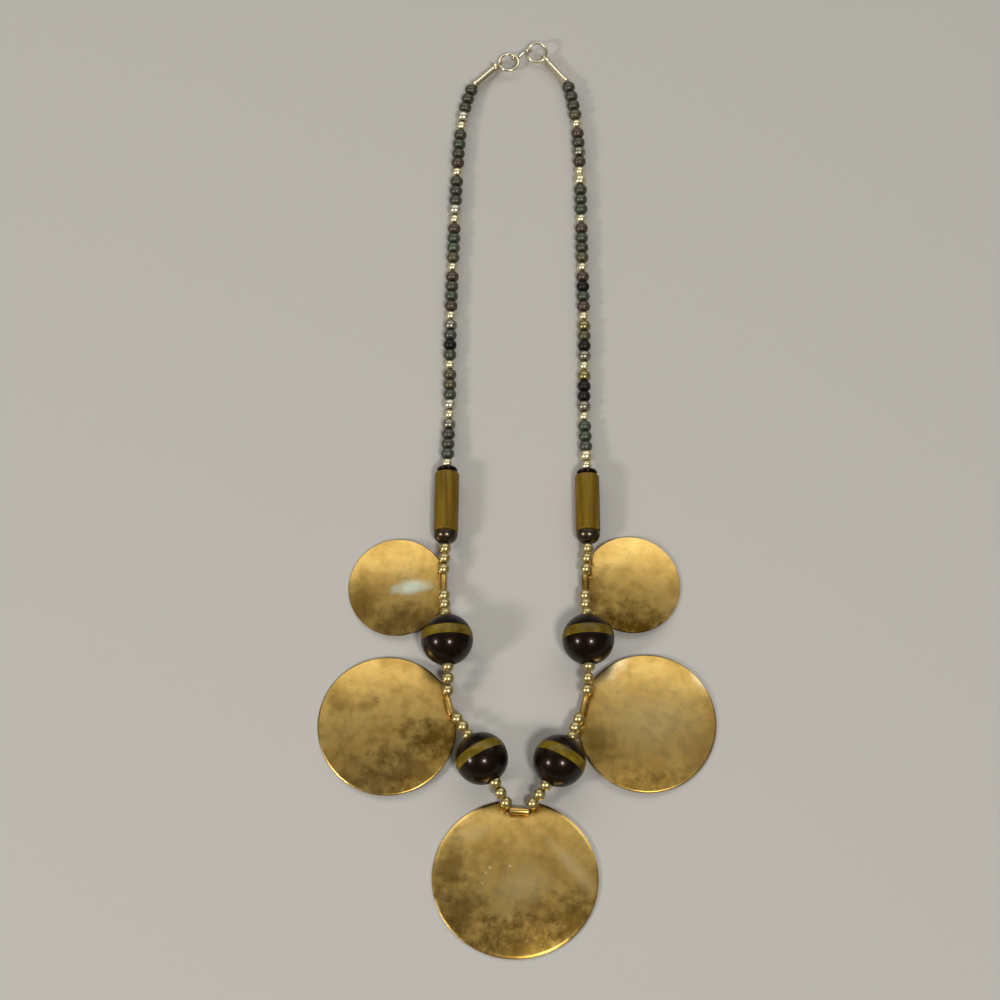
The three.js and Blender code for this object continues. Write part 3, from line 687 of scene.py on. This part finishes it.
def tube_outline(side, bevel=0.7):
    """Straight up the side between two quarter circles."""
    half = TUBE_LENGTH[side] / 2
    low = arc((TUBE_RADIUS - bevel, bevel - half), (bevel, bevel), -90, 0, 7)
    high = arc((TUBE_RADIUS - bevel, half - bevel), (bevel, bevel), 0, 90, 7)
    middle = np.column_stack([np.full(9, TUBE_RADIUS), np.linspace(bevel - half, half - bevel, 9)])
    return np.vstack([[[TUBE_BORE, -half]], low, middle[1:-1], high, [[TUBE_BORE, half]]])


def spacer_outline():
    """A disc whose edge is half a circle."""
    half = SPACER_LENGTH / 2
    edge = arc((SPACER_RADIUS - half, 0), (half, half), -90, 90, 11)
    return np.vstack([[[TUBE_BORE, -half]], edge, [[TUBE_BORE, half]]])


def cap_outline():
    """A quarter ellipse from the tip up to a straight skirt at the tube."""
    half = CAP_LENGTH / 2
    bored = math.degrees(math.acos(CAP_TIP / CAP_RADIUS))
    tall = (CAP_LENGTH - CAP_SKIRT) / math.sin(math.radians(bored))
    dome = arc((0, half - CAP_SKIRT), (CAP_RADIUS, tall), -bored, 0, 16)
    return np.vstack([[[TUBE_BORE, -half]], dome, [[CAP_RADIUS, half]], [[TUBE_BORE, half]]])


def add_turned(name, outline, facets, axes, origin, material, sharp=40):
    grid = put(turn(outline, facets), axes, origin)
    stand_for(make_object(name + "_turned", [(grid, True, True)], material, sharp), name)


print("points round a large bead's outline:", len(bead_outline()))

# %% [markdown]
# Forty small beads run up each side. Most are dark pressed glass, between black, green and brown,
# and every fifth is bright metal. Their order is read off the photograph, from the cord end down.
# A dark thread is part of the strand's mesh, so no floor shows between the beads.

# %% Kinds of small bead, their tints, and their order from the cord end down
SEED_COUNT, METALS_EVERY = 40, 5
METAL_SEED_RADIUS, SEED_BORE, THREAD_RADIUS = 1.55, 0.42, 0.38
LEFT_ORDER = "dddSBdgdbBdddSBbgroBbdgbBmykgBoogSBmddyB"
RIGHT_ORDER = "dddoBbdmbBBdggBbgdoBbkgbBAokmBAkkmBggyBB"
TINTS = {
    "d": "#535044", "k": "#262420", "g": "#525848", "r": "#5b6350", "o": "#625c44", "b": "#594c40",
    "y": "#55574f", "m": "#938e7c", "S": "#cbc6b4", "B": "#e2d8b0", "A": "#978a5e",
}
METALS = "mSBA"
print("metal beads:", {side: sum(kind in METALS for kind in order)
                       for side, order in (("left", LEFT_ORDER), ("right", RIGHT_ORDER))})

# %% A circle carried along a line, for the thread and for wire
def wire_grid(centre_line, radius, facets=14, closed=False):
    """A circle square to the line at every point: the radius times the cosine along one direction
    and the sine along another. Near an open end the radius is that of a ball."""
    line = np.asarray(centre_line, float)
    if closed:
        ahead, behind = np.roll(line, -1, axis=0), np.roll(line, 1, axis=0)
    else:
        ahead, behind = np.vstack([line[1:], line[-1:]]), np.vstack([line[:1], line[:-1]])
    along = (ahead - behind) / np.linalg.norm(ahead - behind, axis=1, keepdims=True)
    quarter, halfway = line[len(line) // 4], line[len(line) // 2]
    normal = np.cross(along, unit(np.cross(quarter - line[0], halfway - line[0])))
    normal /= np.linalg.norm(normal, axis=1, keepdims=True)
    other = np.cross(along, normal)
    size = np.full(len(line), radius)
    if not closed:
        reach = np.concatenate([[0], np.cumsum(np.linalg.norm(np.diff(line, axis=0), axis=1))])
        from_end = np.minimum(reach, reach[-1] - reach) / radius
        size = radius * np.sqrt(np.clip(1 - (1 - np.clip(from_end, 0, 1)) ** 2, 0, 1))
    turns = np.linspace(0, 2 * np.pi, facets, endpoint=False)[None, :, None]
    rim = normal[:, None] * np.cos(turns) + other[:, None] * np.sin(turns)
    return line[:, None] + rim * size[:, None, None]


# %% Strands of small beads
def seed_outline(radius, length, flat=0.42, ease=0.08):
    """A rounded barrel, flatter at its drilled ends than a ball: half an ellipse that starts a
    flat share of the radius out."""
    skin = arc((radius * flat, 0), (radius * (1 - flat), length / 2), -90, 90, 13)
    return np.vstack([[[SEED_BORE, ease - length / 2]], skin, [[SEED_BORE, length / 2 - ease]]])


def seed_grid(route, middle, pitch, kind, bright, wander):
    """One bead, a little shorter than its pitch, a few hundredths uneven and slightly tipped."""
    radius = (METAL_SEED_RADIUS if bright else SEED_RADIUS) * (1 + 0.02 * wander.uniform(-1, 0))
    length = pitch * (0.94 if kind in METALS else 0.9) * (1 + 0.03 * wander.uniform(-1, 0))
    ball = arc((0, 0), (radius, length / 2), -74, 74, 13)
    outline = ball if bright else seed_outline(radius, length)
    along = route.at(middle + 0.5) - route.at(middle - 0.5)
    tipped = along + wander.uniform(-0.05, 0.05, 3) * [1, 1, 0.4]
    return put(turn(outline, 22), axes_along(tipped), route.at(middle))


def add_strand(side, route, start, stop):
    """Every grid's points have its bead's tint, and the faces of metal beads the second material.
    The thread's end points are left off, because welding them would upset the count of points."""
    order = (LEFT_ORDER if side == "left" else RIGHT_ORDER)[::-1]
    pitch = (stop - start) / SEED_COUNT
    wander = np.random.default_rng(7 if side == "left" else 8)
    grids, tints, materials = [], [], []
    for i, kind in enumerate(order):
        grid = seed_grid(route, start + (i + 0.5) * pitch, pitch, kind, i % METALS_EVERY == 0, wander)
        points = grid.shape[0] * grid.shape[1]
        grids.append((grid, True, True))
        tints.append(np.tile(rgba(TINTS[kind]), (points, 1)))
        materials.append(np.full(points, int(kind in METALS)))
    thread = wire_grid(route.at(np.linspace(start, stop, 4 * SEED_COUNT)), THREAD_RADIUS)[1:-1]
    rows, columns = thread.shape[:2]
    grids.append((thread, False, True))
    tints.append(np.tile(rgba(TINTS["k"]), (rows * columns, 1)))
    materials.append(np.zeros((rows - 1) * columns, int))
    thing = make_object(f"{side}_small_beads", grids, seed_glass, 50)
    mesh = thing.data
    mesh.materials.append(seed_metal)
    attribute = mesh.attributes.new("tint", "FLOAT_COLOR", "POINT")
    attribute.data.foreach_set("color", np.vstack(tints).ravel())
    mesh.polygons.foreach_set("material_index", np.concatenate(materials))
    mesh.update()
    stand_for(thing, f"{side}_strand")


print("points in a small bead:", turn(seed_outline(SEED_RADIUS, 3.0), 22).shape[:2])

# %% [markdown]
# The clasp is wire and two turned sleeves. A ring is a circle carried round a circle. The hook is
# one wire bent in an S that stands on edge, low round one ring and high over the other.

# %% Cord ends, rings and hook
EYE_WIRE, EYE_NECK, RING_WIRE = 0.28, 0.45, 0.4
HOOK_WIRE, HOOK_BEND = 0.45, 1.15


def sleeve_outline(collar, ease=0.15):
    """The sleeve's steps, bottom to top, each outer corner eased. The last two points are the
    foot of the eye."""
    low, low_length = SLEEVE["low_radius"], SLEEVE["low_length"]
    top = low_length + SLEEVE["length"]
    tip = top + collar[1]
    return np.array([
        [0, 0], [low - ease, 0], [low, ease], [low, low_length - ease], [low - ease, low_length],
        [SLEEVE["radius"], low_length], [SLEEVE["radius"], top], [collar[0] - ease, top],
        [collar[0], top + ease], [collar[0], tip - ease], [collar[0] - ease, tip],
        [EYE_NECK, tip], [EYE_NECK, SLEEVE_TIP - EYE_RADIUS], [0, SLEEVE_TIP - EYE_RADIUS]])


def circle_line(radius, count=48):
    """The radius times the cosine and sine of the turn, at no height."""
    turns = np.linspace(0, 2 * np.pi, count, endpoint=False)
    return np.column_stack([radius * np.cos(turns), radius * np.sin(turns), np.zeros(count)])


def add_cord_end(side):
    _, eye, base = clasp_side(side)
    axes = axes_along(eye - base)
    body = put(turn(sleeve_outline(CLASP[side]["collar"]), 32), axes, base)
    upright = circle_line(EYE_RADIUS)[:, [2, 0, 1]] + [0, 0, SLEEVE_TIP]
    loop = put(wire_grid(upright, EYE_WIRE, closed=True), axes, base)
    cord_end = make_object(f"{side}_sleeve_and_eye", [(body, False, True), (loop, True, True)],
                           pale_metal, 30)
    stand_for(cord_end, f"{side}_cord_end")


def add_ring(side):
    """A circle through the hook's bend and the eye, leaning to one side about the line between
    them: its middle is off that line by the root of the radius squared less half the chord's."""
    hook, eye, _ = clasp_side(side)
    along = unit(eye - hook)
    half = np.linalg.norm(eye - hook) / 2
    flat = np.cross([0, 0, 1], along)
    lean = math.radians(CLASP[side]["lean"])
    across = flat * math.cos(lean) + np.cross(along, flat) * math.sin(lean)
    axes = np.stack([along, across, np.cross(along, across)], axis=1)
    centre = hook + along * half + across * math.sqrt(RING_RADIUS**2 - half**2)
    grid = put(wire_grid(circle_line(RING_RADIUS), RING_WIRE, closed=True), axes, centre)
    ring = make_object(f"{side}_wire_ring", [(grid, True, True)], pale_metal)
    stand_for(ring, f"{side}_ring")


def hook_line():
    """Two open circles side by side joined by a straight through the middle, in one plane."""
    def bend(centre, degrees):
        turns = np.radians(degrees)
        return np.column_stack(
            [centre + HOOK_BEND * np.cos(turns), HOOK_BEND * np.sin(turns), np.zeros(len(turns))])
    low = bend(-HOOK_REACH / 2, [130, 180, 225, 270, 310])
    high = bend(HOOK_REACH / 2, [130, 90, 45, 0, -50])
    return spline(np.vstack([low, [[0, 0, 0]], high]), 8)


def add_hook():
    along = level(HOOK_TURN)
    axes = np.stack([along, [0, 0, 1], np.cross(along, [0, 0, 1])], axis=1)
    grid = put(wire_grid(hook_line(), HOOK_WIRE), axes, np.array(HOOK_PLACE))
    hook = make_object("bent_wire_hook", [(grid, False, True)], pale_metal)
    stand_for(hook, "hook")


print("points along the hook:", len(hook_line()))

# %% [markdown]
# Threading: from the large disc's tube up each side, every piece goes where its own half length,
# the gap and its neighbour's half length put it, measured straight from middle to middle.

# %% Thread both sides
ORDER_UP = ["run", "lower", "run", "medium", "run", "upper", "run", "small", "run"]


def thread_side(side):
    """Seats a side's pieces in turn and returns how many balls it took."""
    route = routes[side]
    outward = -1 if side == "left" else 1
    place, reach, balls = route.start, LARGE_DISC["tube"] / 2, 0

    def next_place(half):
        nonlocal place, reach
        place = route.past_by(place, reach + GAP + half)
        reach = half
        return place

    def seat(length, half):
        low, high = route.at(length - half), route.at(length + half)
        return axes_along(high - low), (low + high) / 2

    for step in ORDER_UP:
        if step == "run":
            for _ in range(BALLS_IN_RUN):
                balls += 1
                axes, origin = seat(next_place(BALL_HALF), BALL_HALF)
                add_turned(f"{side}_brass_ball_{balls:02d}", ball_outline(), 32, axes, origin,
                           ball_brass)
        elif step in ("lower", "upper"):
            axes, origin = seat(next_place(BEAD_HALF - BALL_TUCK), BEAD_HALF)
            origin[2] = BEAD_RADIUS
            add_turned(f"{side}_{step}_bead", bead_outline(), 96, axes, origin, black_resin,
                       30)
            add_turned(f"{side}_{step}_band", band_outline(), 96, axes, origin, band_horn, 30)
        else:
            disc = MEDIUM_DISC if step == "medium" else SMALL_DISC
            add_disc(f"{side}_{step}_disc", route, next_place(disc["tube"] / 2), outward, disc,
                     SWING[f"{side}_{step}"])
    for name, outline, half, material, slot in (
            ("dome_cap", cap_outline(), CAP_LENGTH / 2, dark_metal, "dark_metal"),
            ("tube", tube_outline(side), TUBE_LENGTH[side] / 2, tube_horn, "horn"),
            ("black_spacer", spacer_outline(), SPACER_LENGTH / 2, jet_glass, "jet")):
        axes, origin = seat(next_place(half), half)
        add_turned(f"{side}_{name}", outline, 64, axes, origin, material)
    add_strand(side, route, place + reach + GAP, route.end - GAP)
    add_cord_end(side)
    add_ring(side)
    return balls


add_disc("large_disc", routes["left"], routes["left"].start, -1, LARGE_DISC, SWING["large"])
print("balls:", {side: thread_side(side) for side in ("left", "right")})
add_hook()

# %% [markdown]
# A plain pale floor and soft lights. Metal shows what stands round it, so the broad panel beyond
# the clasp matters as much as the lamps: it is what the discs mirror along their upper halves.

# %% Floor and lights
FLOOR_HALF = 3


def add_floor():
    """Matt card, so that it takes soft shadows and mirrors nothing."""
    material, _, shader = new_material("matt pale floor")
    shader.inputs["Base Color"].default_value = rgba("#b4b0a8")
    shader.inputs["Roughness"].default_value = 0.9
    mesh = bpy.data.meshes.new("floor")
    corners = [(x * FLOOR_HALF, y * FLOOR_HALF, 0) for x, y in ((-1, -1), (1, -1), (1, 1), (-1, 1))]
    mesh.from_pydata(corners, [], [(0, 1, 2, 3)])
    mesh.materials.append(material)
    floor = bpy.data.objects.new("floor", mesh)
    bpy.context.scene.collection.objects.link(floor)


def add_light(name, direction, distance, sizes, power):
    """A flat lamp that faces the necklace from a direction: a disc, or a panel with two sizes."""
    data = bpy.data.lights.new(name, "AREA")
    data.shape = "RECTANGLE" if len(sizes) == 2 else "DISK"
    data.size, data.size_y = sizes[0], sizes[-1]
    data.energy = power
    light = bpy.data.objects.new(name, data)
    bpy.context.scene.collection.objects.link(light)
    way = Vector(direction).normalized()
    light.location = way * distance
    light.rotation_euler = way.to_track_quat("Z", "Y").to_euler()


def add_world(colour, strength):
    world = bpy.data.worlds.new("soft room")
    world.use_nodes = True
    background = world.node_tree.nodes["Background"]
    background.inputs["Color"].default_value = rgba(colour)
    background.inputs["Strength"].default_value = strength
    bpy.context.scene.world = world


add_floor()
add_light("main lamp", (0.2, -0.5, 0.84), 1.2, [0.22], 6.5)
add_light("second lamp", (-0.75, -0.38, 0.54), 1.2, [0.22], 5.5)
add_light("window", (0.0, 0.7, 0.72), 1.4, [2.6, 0.8], 9.5)
add_light("wall beside it", (0.0, 0.5, 0.866), 1.4, [2.8, 1.4], 3)
add_world("#d9d6d0", 0.2)
bpy.context.scene.view_settings.view_transform = "Standard"
print("lights in watts:", {light.name: round(light.energy, 1) for light in bpy.data.lights})
